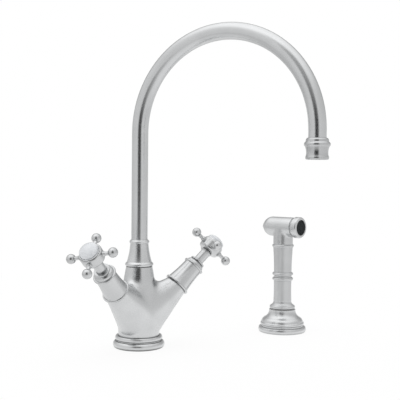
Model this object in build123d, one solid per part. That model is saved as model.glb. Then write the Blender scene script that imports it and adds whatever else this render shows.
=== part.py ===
from build123d import *
import math
import os

# Two-handle kitchen mixer with a high swivel spout, and a hand spray that stands in its own deck flange.
# Millimetres. The origin is the middle of the mixer's foot on the deck, +Z is up, the front is -Y, and the
# spray stands on the right, +X. The handles lie either side of the front: hot on the left, cold on the right.

# ---- Clearances ----
RUN = 0.05              # radial clearance of a running fit
SEAT = 0.1              # radial clearance of a screwed, pressed or brazed seat
FACE = 0.05             # gap between flat faces that turn or slide on each other
OPEN_GAP = 0.3          # gap between curved faces that only pass each other

# ---- Foot ring and gasket, radial sizes beyond the body's foot ----
FOOT_R = 25.1
BASE_PROUD = 6.8        # lower bead
BASE_BEAD_H = 8.2
BASE_NECK_PROUD = 2.9   # groove between the beads
BASE_STEP_PROUD = 4.0   # upper bead
BASE_H = 14.6
LEDGE_W = 5.1           # ledge in the ring that carries the body
RECESS_DEPTH = 2.2      # how deep the body sits in the ring
BASE_GASKET_W = 5.1
BASE_GASKET_INSET = 4.3
GASKET_H = 2.0

# ---- Mixer body ----
FOOT_TOP_Z = 24.0
FOOT_FLARE = 0.6        # how much wider the foot is at its top
FOOT_CLEAR_Z = 2.0      # the port plate stays this far above the deck
COLUMN_TOP_Z = 99.4
COLUMN_TOP_R = 16.2
COLUMN_SHOULDER_R = 19.6
COLUMN_SHOULDER_Z = 80.0
COLUMN_BORE_R = 9.25
COLUMN_BORE_FLOOR_Z = 56.0
ARM_RISE = 44.2         # degrees above the deck
ARM_SPLAY = 18.2        # degrees forward of the left-right line
ARM_ROOT_Z = 25.4       # where the arms' axes meet the column's axis
ARM_LENGTH = 69.6       # along the arm, from the column's axis to the arm's end face
ARM_END_R = 14.2
ARM_START_INSET = 0.5   # the circle that each arm grows from lies this far inside the foot
ARM_START_Z = 17.0
ARM_SHOULDER_SLOPE = 19.0
ARM_SHOULDER_INSET = 12.1   # the filled-out upper side starts this much nearer than the arm's length
ARM_STEPS = (0.36, 0.72)
BLEND_R = 9.0           # where the arms grow out of the column

# ---- Water ways, and the plate with tapped ports that closes the casting's foot ----
PORT_R = 4.5
PORT_DEPTH = 8.6
WATERWAY_R = 3.2
INLET_X = 7.6
INLET_Y = 5.0
RINSE_PORT_Y = -9.0
STUD_HOLE_R = 2.5
STUD_X = 13.2
STUD_Y = -8.0
STUD_DEPTH = 8.6
MIX_Z = 74.0            # height where the mixed water enters the column

# ---- Quarter-turn valves, along the arm's axis ----
CHAMBER_R = 10.2
CHAMBER_DEPTH = 22.6
SEAL_H = 2.0
SEAL_BORE_R = 4.2
DISC_R = 7.6
FIXED_DISC_H = 3.0
MOVING_DISC_H = 2.55
DISC_PORT_R = 1.9
DISC_PORT_OFFSET = 3.9
SHUT_TURN = 90.0        # degrees between the two discs' ports when the valve is shut
VALVE_SKIRT_R = 8.6
VALVE_THREAD_H = 9.6
HEX_R = 12.5            # corners of the valve's hexagon
HEX_H = 3.9
VALVE_NECK_R = 8.0
VALVE_NECK_H = 26.4
DRIVE_W = 2.4           # tongue that turns the moving disc
DRIVE_H = 1.1
SPINDLE_R = 4.5
SPINDLE_TOP_R = 4.0
SPINDLE_FLANGE_R = 6.0
SPINDLE_FLANGE_H = 2.4
SPINDLE_SEAL_D = 1.16   # cord of the spindle's O-rings
SPINDLE_SEAL_AT = (12.4, 17.4)
CLIP_R = 6.2
CLIP_H = 1.0
CLIP_GAP = 3.0

# ---- Bonnets ----
BONNET_H = 41.6
BONNET_FLANGE_R = 16.9
BONNET_FLANGE_H = 2.2
BONNET_LOW_R = 15.0
BONNET_HIGH_R = 12.6
BONNET_BORE_R = 13.2
BONNET_BEAD_AT = 31.6   # lower edge of the wide bead, above the arm's end
BONNET_BEAD_H = 2.8
BONNET_TOP_R = 8.5
BEAD_PROUD = 1.6

# ---- Cross handles ----
HUB_AT = 67.3           # cross centre above the arm's end
HUB_R = 14.0
HUB_BACK = 8.5
HUB_FRONT = 5.7
SLEEVE_R = 6.4
SLEEVE_START = 32.2     # lower end of the handle's neck above the arm's end
HUB_RECESS_R = 12.6
HUB_RECESS_DEPTH = 3.0
SCREW_WELL_R = 6.5
SCREW_SEAT = 2.9        # the screw's seat below the cross centre
SCREW_R = 1.9
SCREW_HEAD_R = 5.0
SCREW_HEAD_H = 3.4
SCREW_LENGTH = 10.0
RING_PROUD = 1.5
RING_WALL = 1.0
PORCELAIN_H = 12.0
BALL_REACH = 26.4       # from the cross centre to each ball's centre
BALL_R = 5.8
SPOKE_R = 2.2
SPOKE_ROOT_R = 3.3
SPOKE_ROOT_L = 15.4
HOT_TURN = 14.8         # how far each cross is turned about its axis when shut
COLD_TURN = -11.9

# ---- Swivel ----
BUSH_WALL = 1.9
BUSH_DEPTH = 6.4
BUSH_FLANGE_R = 15.2
BUSH_FLANGE_H = 0.8
SPIGOT_LOW_Z = 76.0
SPIGOT_BORE_R = 6.4
SPIGOT_IN_TUBE = 10.0
SPOUT_SEAL_D = 1.9
SPOUT_SEAL_Z = (79.6, 83.8)
LOCK_Z = 89.0
LOCK_GROOVE_H = 3.0
LOCK_GROOVE_R = 7.4
LOCK_SCREW_R = 2.4
LOCK_TIP_R = 1.2
LOCK_SINK = 0.6         # how far the lock screw's outer end lies under the surface

# ---- Spout ----
COLLAR_H = 32.6
COLLAR_LOW_R = 16.3
COLLAR_BEAD_H = 4.2
COLLAR_CONE_R = 15.3
COLLAR_MID_R = 13.0
COLLAR_HIGH_R = 11.2
COLLAR_TOP_BEAD_R = 12.3
SOCKET_LEDGE = 6.0      # the tube's end stands this far above the collar's lower face
TUBE_R = 10.0
TUBE_WALL = 1.2
SPOUT_REACH = 231.6     # between the tube's two legs
ARCH_BASE_Z = 263.2     # where the half-circle starts
SPOUT_AZIMUTH = -72.8
OUTLET_DROP = 32.1      # the outlet lies this far below the half-circle's start

# ---- Nozzle and aerator, heights above the outlet ----
NOZZLE_H = 23.7
NOZZLE_RING_R = 14.5
NOZZLE_RING_H = 16.6
NOZZLE_SHOULDER_R = 12.5
NOZZLE_WAIST_R = 12.0
NOZZLE_LIP_R = 12.9
NOZZLE_BORE_R = 11.0
NOZZLE_BORE_DEPTH = 13.0
TUBE_IN_NOZZLE = 5.0
AERATOR_WALL = 1.5
AERATOR_H = 11.2
AERATOR_RECESS = 0.5
SCREEN_H = 0.8
SCREEN_HOLE_R = 1.0
SCREEN_PITCH = 3.2
WASHER_H = 1.2

# ---- Diverter ----
DIVERTER_H = 12.0
DIVERTER_BORE_R = 6.05
DIVERTER_LIP_R = 4.5
DIVERTER_LIP_H = 1.4
PISTON_H = 7.0
PISTON_BORE_R = 2.4

# ---- Hand spray: flange and guide ----
SPRAY_X = 211.2
SPRAY_Y = -49.7
FLANGE_R = 32.5
FLANGE_BEAD_H = 6.8
FLANGE_NECK_R = 28.4
FLANGE_STEP_R = 29.7
FLANGE_STEP_H = 4.4
FLANGE_SHOULDER_R = 24.2
FLANGE_SHOULDER_Z = 19.2
FLANGE_TOP_R = 17.9
FLANGE_H = 30.2
SHANK_R = 17.0          # tapped bore for the shank that clamps the flange to the deck
SHANK_DEPTH = 6.0
FLANGE_GASKET_IN_R = 22.0
FLANGE_GASKET_OUT_R = 28.0
GUIDE_R = 14.0
GUIDE_LIP_R = 16.5
GUIDE_LIP_H = 0.9
PLUG_R = 12.0           # lower end of the grip, which slides in the guide
PLUG_LENGTH = 14.8
FLANGE_SCREW_AZIMUTH = -139.0
FLANGE_SCREW_Z = 26.4
FLANGE_SCREW_R = 1.5
FLANGE_SCREW_L = 3.6

# ---- Hand spray: grip, heights above the guide's lip ----
GRIP_H = 88.0
GRIP_RING_R = 17.3
GRIP_RING_H = 4.8
GRIP_LOW_R = 11.8
GRIP_BEAD_R = 14.1
GRIP_BEAD_H = 4.4
GRIP_BEAD_PITCH = 6.8
GRIP_BEADS_AT = 38.6
GRIP_HIGH_R = 13.3
GRIP_TOP_BEAD_R = 14.7
GRIP_TOP_BEAD_H = 4.0
GRIP_BORE_R = 6.5
CONNECTOR_R = 9.0
CONNECTOR_LENGTH = 16.5
CONNECTOR_DROP = 9.6    # how far the connector hangs out of the plug
HOSE_THREAD_R = 5.7
HOSE_THREAD_L = 9.0
CONNECTOR_SEAL_H = 1.2

# ---- Hand spray: head, along the barrel from the grip's axis towards the outlet ----
HEAD_AZIMUTH = -84.0
HEAD_Z = 142.9
BARREL_R = 13.3         # also the neck's radius
BARREL_BACK = 16.5
BARREL_DOME = 11.6      # length of the rounded back, up to the button's rim
BARREL_FRONT = 19.6
BARREL_GROOVE_W = 1.6
BARREL_GROOVE_R = 12.4
FRONT_BORE_R = 9.5
SEAT_WALL_AT = 7.0
SEAT_WALL_H = 2.6
SEAT_HOLE_R = 5.2
REAR_CHAMBER_R = 9.0
BULKHEAD_AT = -13.0
BULKHEAD_H = 3.0
BUTTON_BORE_R = 7.1
NOZZLE_CAP_R = 14.25
NOZZLE_CAP_L = 9.3
SPRAY_FACE_R = 10.4
SPRAY_FACE_H = 1.9
SPRAY_FACE_RECESS = 0.6
SPRAY_HOLE_R = 0.6
SPRAY_HOLE_RING_R = (4.0, 7.6)
SPRAY_HOLE_PITCH = 4.1
BUTTON_R = 5.2
BUTTON_PROUD = 3.2
BUTTON_FLANGE_H = 2.0
BUTTON_TRAVEL = 4.0
ROD_R = 2.4
VALVE_DISC_R = 7.0
VALVE_DISC_H = 2.2
VALVE_SEAL_H = 0.65
STEM_SEAL_D = 1.4
SPRING_WIRE_R = 0.5
SPRING_R = 4.6
SPRING_TURNS = 4

# ---- Worked out from the above ----
FOOT_TOP_R = FOOT_R + FOOT_FLARE
BASE_R = FOOT_R + BASE_PROUD
BASE_NECK_R = FOOT_R + BASE_NECK_PROUD
BASE_STEP_R = FOOT_R + BASE_STEP_PROUD
BASE_BORE_R = FOOT_R - LEDGE_W
BASE_GASKET_OUT_R = BASE_R - BASE_GASKET_INSET
BASE_GASKET_IN_R = BASE_GASKET_OUT_R - BASE_GASKET_W
ARM_START_R = FOOT_R - ARM_START_INSET
ARM_SHOULDER_RUN = ARM_LENGTH - ARM_SHOULDER_INSET
LEDGE_Z = BASE_H - RECESS_DEPTH
OUTLET_Z = ARCH_BASE_Z - OUTLET_DROP
CHAMBER_FLOOR = ARM_LENGTH - CHAMBER_DEPTH
VALVE_FOOT = CHAMBER_FLOOR + SEAL_H
MOVING_DISC_AT = VALVE_FOOT + FIXED_DISC_H + FACE
SPINDLE_AT = MOVING_DISC_AT + MOVING_DISC_H + FACE
DISC_BORE_TOP = SPINDLE_AT + SPINDLE_FLANGE_H + FACE
VALVE_TOP = ARM_LENGTH + VALVE_NECK_H
CLIP_AT = VALVE_TOP + OPEN_GAP
HUB_CENTRE = ARM_LENGTH + HUB_AT
SPINDLE_TOP = HUB_CENTRE - SCREW_SEAT - OPEN_GAP
SPIGOT_R = COLUMN_BORE_R - RUN
BUSH_TOP_Z = COLUMN_TOP_Z + BUSH_FLANGE_H
COLLAR_Z = BUSH_TOP_Z + FACE
TUBE_FOOT_Z = COLLAR_Z + SOCKET_LEDGE
TUBE_BORE_R = TUBE_R - TUBE_WALL
NOZZLE_TOP_Z = OUTLET_Z + NOZZLE_H
TUBE_END_Z = NOZZLE_TOP_Z - TUBE_IN_NOZZLE
GRIP_Z = FLANGE_H + FACE + GUIDE_LIP_H + FACE
GRIP_TOP_Z = GRIP_Z + GRIP_H
PLUG_FOOT_Z = GRIP_Z - PLUG_LENGTH
CONNECTOR_Z = PLUG_FOOT_Z - CONNECTOR_DROP
CONNECTOR_TOP_Z = CONNECTOR_Z + CONNECTOR_LENGTH
BUTTON_RIM_AT = -BARREL_BACK - BARREL_DOME
BUTTON_FLANGE_AT = BUTTON_RIM_AT + 2.6
BUTTON_FLANGE_END = BUTTON_FLANGE_AT + BUTTON_FLANGE_H
SEAT_FACE = SEAT_WALL_AT + SEAT_WALL_H
SIDES = {"hot": -1, "cold": 1}


# ---- Ways of making shapes ----
def turned(start, *steps):
    """Solid turned about Z. The outline starts at (radius, height); a step is the next point of a straight
    edge, or a pair (point passed through, end) of an arc, and the outline closes by itself."""
    edges = []
    here = start
    for step in steps:
        if isinstance(step[0], tuple):
            through, end = step
            edges.append(ThreePointArc(here, through, end))
        else:
            end = step
            edges.append(Line(here, end))
        here = end
    edges.append(Line(here, start))
    return revolve(Plane.XZ * make_face(edges), Axis.Z)


def dome(radius, low, top):
    """The step of a ball-shaped cap that ends on the axis."""
    height = top - low
    ball = (radius**2 + height**2) / (2 * height)
    half = math.asin(radius / ball) / 2
    return (ball * math.sin(half), top - ball * (1 - math.cos(half))), (0, top)


def bead(radius, low, height, proud):
    """The two steps of a half-round bead on a wall of this radius, from its lower edge up."""
    return (radius, low), ((radius + proud, low + height / 2), (radius, low + height))


def rod(radius, low, high):
    """Cylinder about Z between two heights."""
    return Pos(0, 0, (low + high) / 2) * Cylinder(radius, high - low)


def pipe(outer, inner, low, high):
    """Tube about Z between two heights."""
    return rod(outer, low, high) - rod(inner, low, high)


def drill(radius, start, end):
    """Cylinder from one point to another."""
    start, end = Vector(start), Vector(end)
    return Plane(origin=start, z_dir=end - start) * rod(radius, 0, (end - start).length)


def o_ring(radius, cord_d, at):
    """Rubber ring about Z, lying in a groove: its outside just clears a wall of this radius."""
    return Pos(0, 0, at) * Torus(radius - cord_d / 2, cord_d / 2)


def groove(radius, depth, width, at):
    """Ring to cut from a shaft of this radius."""
    return pipe(radius + 1, radius - depth, at - width / 2, at + width / 2)


def polar(radius, azimuth, z=0.0):
    angle = math.radians(azimuth)
    return Vector(radius * math.cos(angle), radius * math.sin(angle), z)


# ---- Places ----
def arm_azimuth(side):
    return -ARM_SPLAY if side > 0 else 180 + ARM_SPLAY


def arm_place(side):
    """Frame of an arm: Z runs out along its axis from the column's axis, X lies level."""
    azimuth = arm_azimuth(side)
    out = polar(math.cos(math.radians(ARM_RISE)), azimuth, math.sin(math.radians(ARM_RISE)))
    return Plane(origin=(0, 0, ARM_ROOT_Z), x_dir=polar(1, azimuth + 90), z_dir=out)


def arm_point(side, along):
    return arm_place(side).from_local_coords(Vector(0, 0, along))


SPRAY_PLACE = Pos(SPRAY_X, SPRAY_Y, 0)
SPOUT_PLACE = Rot(0, 0, SPOUT_AZIMUTH)
HEAD_PLACE = Plane(origin=(SPRAY_X, SPRAY_Y, HEAD_Z), x_dir=(0, 0, 1), z_dir=polar(1, HEAD_AZIMUTH))


# ---- Foot and body ----
def gasket_seat(inner, outer):
    return pipe(outer + SEAT, inner - SEAT, 0, GASKET_H)


def base_ring():
    bead_root = BASE_R - 2.3
    groove_h = 1.3
    step_low = BASE_BEAD_H + groove_h
    ring = turned(
        (BASE_BORE_R, 0),
        (bead_root, 0),
        ((BASE_R, BASE_BEAD_H / 2), (bead_root, BASE_BEAD_H)),
        (BASE_NECK_R, BASE_BEAD_H),
        *bead(BASE_NECK_R, step_low, BASE_H - step_low, BASE_STEP_R - BASE_NECK_R),
        (FOOT_R + OPEN_GAP, BASE_H),
        (FOOT_R + OPEN_GAP, LEDGE_Z),
        (BASE_BORE_R, LEDGE_Z),
    )
    return ring - gasket_seat(BASE_GASKET_IN_R, BASE_GASKET_OUT_R)


def deck_gasket():
    return pipe(BASE_GASKET_OUT_R, BASE_GASKET_IN_R, 0, GASKET_H)


def arm_solid(side):
    """One arm, lofted from a circle in the foot to the round end, with its upper side filled out towards
    the column."""
    azimuth = arm_azimuth(side)
    across = polar(1, azimuth + 90)
    rise = math.radians(ARM_RISE)
    slope = math.radians(ARM_SHOULDER_SLOPE)
    end_r = ARM_LENGTH * math.cos(rise)
    end_z = ARM_ROOT_Z + ARM_LENGTH * math.sin(rise)
    low_end = (end_r + ARM_END_R * math.sin(rise), end_z - ARM_END_R * math.cos(rise))
    high_end = (end_r - ARM_END_R * math.sin(rise), end_z + ARM_END_R * math.cos(rise))
    sections = [Pos(0, 0, ARM_START_Z) * Plane(origin=(0, 0, 0), x_dir=across, z_dir=(0, 0, 1)) * Circle(ARM_START_R)]
    for share in ARM_STEPS:
        back = (1 - share) * ARM_SHOULDER_RUN
        low = (ARM_START_R + share * (low_end[0] - ARM_START_R), ARM_START_Z + share * (low_end[1] - ARM_START_Z))
        high = (high_end[0] - back, high_end[1] - back * math.tan(slope))
        tilt = math.atan2(high[1] - low[1], low[0] - high[0])
        normal = polar(math.sin(tilt), azimuth, math.cos(tilt))
        middle = polar((low[0] + high[0]) / 2, azimuth, (low[1] + high[1]) / 2)
        half_height = math.dist(low, high) / 2
        half_width = ARM_START_R + share * (ARM_END_R - ARM_START_R)
        sections.append(Plane(origin=middle, x_dir=across, z_dir=normal) * Ellipse(half_width, half_height))
    end = arm_place(side)
    sections.append(Plane(origin=arm_point(side, ARM_LENGTH), x_dir=across, z_dir=end.z_dir) * Circle(ARM_END_R))
    return loft(sections)


def body_casting():
    seam_to_back = Rot(0, 0, 90)
    column = seam_to_back * turned(
        (0, LEDGE_Z),
        (FOOT_R, LEDGE_Z),
        (FOOT_TOP_R, FOOT_TOP_Z),
        ((COLUMN_SHOULDER_R, COLUMN_SHOULDER_Z), (COLUMN_TOP_R, COLUMN_TOP_Z)),
        (0, COLUMN_TOP_Z),
    )
    arms = [arm_solid(side) for side in SIDES.values()]
    body = column + arms[0] + arms[1]
    body = fillet([edge for edge in body.edges() if is_arm_root(edge, column)], BLEND_R)
    return body - water_ways()


def port_plate():
    """Brass plate brazed under the casting's foot, with the tapped ports and the stud holes."""
    return rod(BASE_BORE_R - OPEN_GAP, FOOT_CLEAR_Z, LEDGE_Z) - water_ways()


def is_arm_root(edge, column):
    """Whether this edge is where an arm leaves the column, above the foot."""
    box = edge.bounding_box()
    on_skin = all(Compound(column.faces()).distance_to(edge @ share) < 0.02 for share in (0.1, 0.5, 0.9))
    return on_skin and box.min.Z > FOOT_TOP_Z + 1 and box.max.Z < COLUMN_TOP_Z - 1


def water_ways():
    """Everything that is bored in the casting and the plate under it."""
    port_top = FOOT_CLEAR_Z + PORT_DEPTH
    cuts = rod(COLUMN_BORE_R, COLUMN_BORE_FLOOR_Z, COLUMN_TOP_Z)
    cuts += rod(COLUMN_BORE_R + BUSH_WALL + SEAT, COLUMN_TOP_Z - BUSH_DEPTH, COLUMN_TOP_Z)
    cuts += drill(PORT_R, (0, RINSE_PORT_Y, FOOT_CLEAR_Z), (0, RINSE_PORT_Y, port_top))
    cuts += drill(WATERWAY_R, (0, RINSE_PORT_Y, port_top - 1), (0, 0, COLUMN_BORE_FLOOR_Z + 1))
    for side in SIDES.values():
        inlet = (side * INLET_X, INLET_Y)
        cuts += drill(PORT_R, (*inlet, FOOT_CLEAR_Z), (*inlet, port_top))
        cuts += drill(WATERWAY_R, (*inlet, port_top - 1), arm_point(side, CHAMBER_FLOOR + 1))
        cuts += drill(WATERWAY_R, arm_point(side, DISC_BORE_TOP), (0, 0, MIX_Z))
        cuts += arm_place(side) * rod(CHAMBER_R, CHAMBER_FLOOR, ARM_LENGTH)
        cuts += Pos(side * STUD_X, STUD_Y, 0) * rod(STUD_HOLE_R, FOOT_CLEAR_Z, FOOT_CLEAR_Z + STUD_DEPTH)
    surface_r = COLUMN_TOP_R + 8
    cuts += drill(LOCK_SCREW_R + SEAT, (0, COLUMN_BORE_R - 1, LOCK_Z), (0, surface_r, LOCK_Z))
    return cuts


# ---- Valves ----
def valve_body():
    hexagon = Pos(0, 0, ARM_LENGTH) * extrude(RegularPolygon(HEX_R, 6), HEX_H)
    thread_low = ARM_LENGTH - VALVE_THREAD_H
    outside = rod(VALVE_SKIRT_R, VALVE_FOOT, thread_low) + rod(CHAMBER_R - SEAT, thread_low, ARM_LENGTH)
    outside += hexagon + rod(VALVE_NECK_R, ARM_LENGTH + HEX_H, VALVE_TOP)
    inside = rod(DISC_R + RUN, VALVE_FOOT, DISC_BORE_TOP) + rod(SPINDLE_R + RUN, DISC_BORE_TOP, VALVE_TOP)
    window_low = SPINDLE_AT
    window = Pos(0, 0, (window_low + DISC_BORE_TOP) / 2) * Box(DISC_R, 3 * VALVE_SKIRT_R, DISC_BORE_TOP - window_low)
    return outside - inside - window


def seat_seal():
    return pipe(VALVE_SKIRT_R - SEAT, SEAL_BORE_R, CHAMBER_FLOOR, VALVE_FOOT)


def disc_ports(low, high, turn):
    """The two holes of a ceramic disc, which meet the other disc's when the valve is open."""
    hole = Pos(DISC_PORT_OFFSET, 0, 0) * rod(DISC_PORT_R, low, high)
    return Rot(0, 0, turn) * hole + Rot(0, 0, turn + 180) * hole


def fixed_disc():
    high = VALVE_FOOT + FIXED_DISC_H
    return rod(DISC_R, VALVE_FOOT, high) - disc_ports(VALVE_FOOT, high, 0)


def moving_disc():
    low, high = MOVING_DISC_AT, MOVING_DISC_AT + MOVING_DISC_H
    slot_h = DRIVE_H + FACE
    slot = Pos(0, 0, high - slot_h / 2) * Box(DRIVE_W + 2 * SEAT, 2 * DISC_R, slot_h)
    return rod(DISC_R, low, high) - disc_ports(low, high, SHUT_TURN) - slot


def spindle():
    """Shaft with the tongue that drives the moving disc, O-ring and clip grooves and a tapped top."""
    flange_top = SPINDLE_AT + SPINDLE_FLANGE_H
    shaft = rod(SPINDLE_FLANGE_R, SPINDLE_AT, flange_top) + rod(SPINDLE_R, flange_top, CLIP_AT + CLIP_H)
    shaft += rod(SPINDLE_TOP_R, CLIP_AT + CLIP_H, SPINDLE_TOP)
    shaft += Pos(0, 0, SPINDLE_AT - DRIVE_H / 2) * Box(DRIVE_W, 2 * SPINDLE_FLANGE_R - DRIVE_W, DRIVE_H)
    for above in SPINDLE_SEAL_AT:
        shaft -= groove(SPINDLE_R, SPINDLE_SEAL_D + FACE, SPINDLE_SEAL_D + OPEN_GAP, ARM_LENGTH + above)
    shaft -= groove(SPINDLE_R, SPINDLE_R - SPINDLE_TOP_R, CLIP_H + FACE, CLIP_AT + CLIP_H / 2)
    return shaft - rod(SCREW_R + SEAT, SPINDLE_TOP - SCREW_LENGTH, SPINDLE_TOP)


def spindle_seals():
    low, high = (o_ring(SPINDLE_R - FACE / 2, SPINDLE_SEAL_D, ARM_LENGTH + above) for above in SPINDLE_SEAL_AT)
    return Compound(children=[low, high])


def spindle_clip():
    low = CLIP_AT + FACE / 4
    high = CLIP_AT + CLIP_H - FACE / 4
    opening = Pos(CLIP_R, 0, (low + high) / 2) * Box(2 * CLIP_R, CLIP_GAP, CLIP_H)
    return pipe(CLIP_R, SPINDLE_TOP_R + SEAT, low, high) - opening


def bonnet():
    foot = ARM_LENGTH
    bead_low = foot + BONNET_BEAD_AT
    bead_high = bead_low + BONNET_BEAD_H
    top = foot + BONNET_H
    top_bead_low = top - 2.4
    waist = (BONNET_LOW_R + BONNET_HIGH_R) / 2 - 0.4
    sleeve_floor = foot + SLEEVE_START - 1.3
    neck_top = foot + VALVE_NECK_H + 2.5
    neck_low = foot + VALVE_NECK_H - 6.0
    return turned(
        (BONNET_BORE_R, foot),
        (BONNET_FLANGE_R - 0.4, foot),
        ((BONNET_FLANGE_R, foot + BONNET_FLANGE_H / 2), (BONNET_FLANGE_R - 0.4, foot + BONNET_FLANGE_H)),
        (BONNET_LOW_R + 0.4, foot + BONNET_FLANGE_H),
        (BONNET_LOW_R, foot + BONNET_FLANGE_H + 1),
        ((waist, (foot + bead_low) / 2), (BONNET_HIGH_R, bead_low - 0.4)),
        *bead(BONNET_HIGH_R, bead_low, BONNET_BEAD_H, BEAD_PROUD),
        (BONNET_HIGH_R - 0.5, bead_high),
        ((BONNET_HIGH_R - 1.5, (bead_high + top_bead_low) / 2 + 0.5), (BONNET_TOP_R, top_bead_low)),
        ((BONNET_TOP_R + BEAD_PROUD, (top_bead_low + top) / 2), (BONNET_TOP_R, top)),
        (SLEEVE_R + RUN, top),
        (SLEEVE_R + RUN, sleeve_floor),
        (VALVE_NECK_R + SEAT, neck_top),
        (VALVE_NECK_R + SEAT, neck_low),
        (BONNET_HIGH_R - 1.4, neck_low - 3.0),
        (BONNET_BORE_R, foot + HEX_H + 1),
    )


# ---- Cross handles ----
def cross_spoke():
    """One arm of the cross with its ball, turned about its own axis and laid along X."""
    meets_ball = BALL_REACH - math.sqrt(BALL_R**2 - SPOKE_R**2)
    spoke = turned(
        (0, SCREW_WELL_R + 1),
        (SPOKE_ROOT_R, SCREW_WELL_R + 1),
        (SPOKE_ROOT_R, SPOKE_ROOT_L),
        ((SPOKE_R + 0.35, SPOKE_ROOT_L + 0.75), (SPOKE_R + 0.1, SPOKE_ROOT_L + 2.2)),
        (SPOKE_R, meets_ball),
        ((BALL_R, BALL_REACH), (0, BALL_REACH + BALL_R)),
    )
    return Rot(0, 90, 0) * spoke


def cross_handle(turn):
    c = HUB_CENTRE
    start = ARM_LENGTH + SLEEVE_START
    neck_bead_low = c - HUB_BACK - 2.5
    front = c + HUB_FRONT
    back = c - HUB_BACK
    hub = turned(
        (0, start),
        (SLEEVE_R, start),
        *bead(SLEEVE_R, neck_bead_low, 1.8, 1.0),
        (SLEEVE_R, back),
        (HUB_R - 2.0, back + 0.9),
        ((HUB_R - 0.5, back + 2.2), (HUB_R, back + 4.2)),
        (HUB_R, front - 1.8),
        ((HUB_R - 0.3, front - 0.7), (HUB_R - 1.0, front)),
        (0, front),
    )
    for quarter in range(4):
        hub += Rot(0, 0, quarter * 90) * (Pos(0, 0, c) * cross_spoke())
    hub -= rod(HUB_RECESS_R, front - HUB_RECESS_DEPTH, front)
    hub -= rod(SCREW_WELL_R, c - SCREW_SEAT, front)
    hub -= rod(SPINDLE_TOP_R + SEAT, start, c)
    return Rot(0, 0, turn) * hub


def handle_screw():
    seat = HUB_CENTRE - SCREW_SEAT
    head = rod(SCREW_HEAD_R, seat, seat + SCREW_HEAD_H)
    slot = Pos(0, 0, seat + SCREW_HEAD_H) * Box(2 * SCREW_HEAD_R, 1.2, 2.4)
    return head - slot + rod(SCREW_R, seat - SCREW_LENGTH + 1, seat)


def button_ring():
    front = HUB_CENTRE + HUB_FRONT
    low = front - HUB_RECESS_DEPTH
    outer = HUB_RECESS_R - SEAT
    inner = outer - RING_WALL
    top = front + RING_PROUD
    return turned(
        (inner, low),
        (outer, low),
        (outer, top - RING_WALL / 2),
        (((inner + outer) / 2, top), (inner, top - RING_WALL / 2)),
    )


def porcelain():
    low = HUB_CENTRE + HUB_FRONT - HUB_RECESS_DEPTH
    radius = HUB_RECESS_R - SEAT - RING_WALL - SEAT
    top = low + PORCELAIN_H
    return turned(
        (0, low),
        (radius, low),
        (radius, top - 6.0),
        ((radius - 0.5, top - 3.9), (radius - 2.0, top - 2.6)),
        dome(radius - 2.0, top - 2.6, top),
    )


# ---- Swivel, spout and nozzle ----
def swivel_bush():
    sleeve = pipe(COLUMN_BORE_R + BUSH_WALL, COLUMN_BORE_R, COLUMN_TOP_Z - BUSH_DEPTH, BUSH_TOP_Z)
    return sleeve + pipe(BUSH_FLANGE_R, COLUMN_BORE_R, COLUMN_TOP_Z, BUSH_TOP_Z)


def spout_spigot():
    spigot = rod(SPIGOT_R, SPIGOT_LOW_Z, TUBE_FOOT_Z) + rod(TUBE_BORE_R - SEAT, TUBE_FOOT_Z, TUBE_FOOT_Z + SPIGOT_IN_TUBE)
    for z in SPOUT_SEAL_Z:
        spigot -= groove(SPIGOT_R, SPOUT_SEAL_D + FACE, SPOUT_SEAL_D + OPEN_GAP, z)
    spigot -= groove(SPIGOT_R, SPIGOT_R - LOCK_GROOVE_R, LOCK_GROOVE_H, LOCK_Z)
    return spigot - rod(SPIGOT_BORE_R, SPIGOT_LOW_Z, TUBE_FOOT_Z + SPIGOT_IN_TUBE)


def spout_seals():
    low, high = (o_ring(SPIGOT_R - FACE / 2, SPOUT_SEAL_D, z) for z in SPOUT_SEAL_Z)
    return Compound(children=[low, high])


def lock_screw():
    """Grub screw whose tip runs in the spigot's groove, so the spout turns but can't be pulled out."""
    share = (COLUMN_TOP_Z - LOCK_Z) / (COLUMN_TOP_Z - COLUMN_SHOULDER_Z)
    surface = COLUMN_TOP_R + share * (COLUMN_SHOULDER_R - COLUMN_TOP_R)
    outer = surface - LOCK_SINK
    shoulder = COLUMN_BORE_R + OPEN_GAP
    screw = drill(LOCK_SCREW_R, (0, shoulder, LOCK_Z), (0, outer, LOCK_Z))
    screw += drill(LOCK_TIP_R, (0, LOCK_GROOVE_R + OPEN_GAP, LOCK_Z), (0, shoulder + 1, LOCK_Z))
    socket_plane = Plane(origin=(0, outer, LOCK_Z), z_dir=(0, -1, 0))
    return screw - socket_plane * extrude(RegularPolygon(1.3, 6), 2.0)


def spout_collar():
    low = COLLAR_Z
    top = low + COLLAR_H
    bead_top = low + COLLAR_BEAD_H
    top_bead_h = 3.6
    bead_low = top - 1.0 - top_bead_h
    return turned(
        (SPIGOT_R + SEAT, low),
        (COLLAR_LOW_R, low),
        ((COLLAR_LOW_R + 1.1, low + COLLAR_BEAD_H / 2), (COLLAR_LOW_R - 0.2, bead_top)),
        (COLLAR_CONE_R, bead_top + 1.0),
        ((COLLAR_MID_R, low + 14.2), (COLLAR_HIGH_R, bead_low)),
        ((COLLAR_TOP_BEAD_R, bead_low + top_bead_h / 2), (COLLAR_HIGH_R - 0.2, bead_low + top_bead_h)),
        (TUBE_R + 0.5, top),
        (TUBE_R + SEAT, top),
        (TUBE_R + SEAT, TUBE_FOOT_Z),
        (SPIGOT_R + SEAT, TUBE_FOOT_Z),
    )


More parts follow.
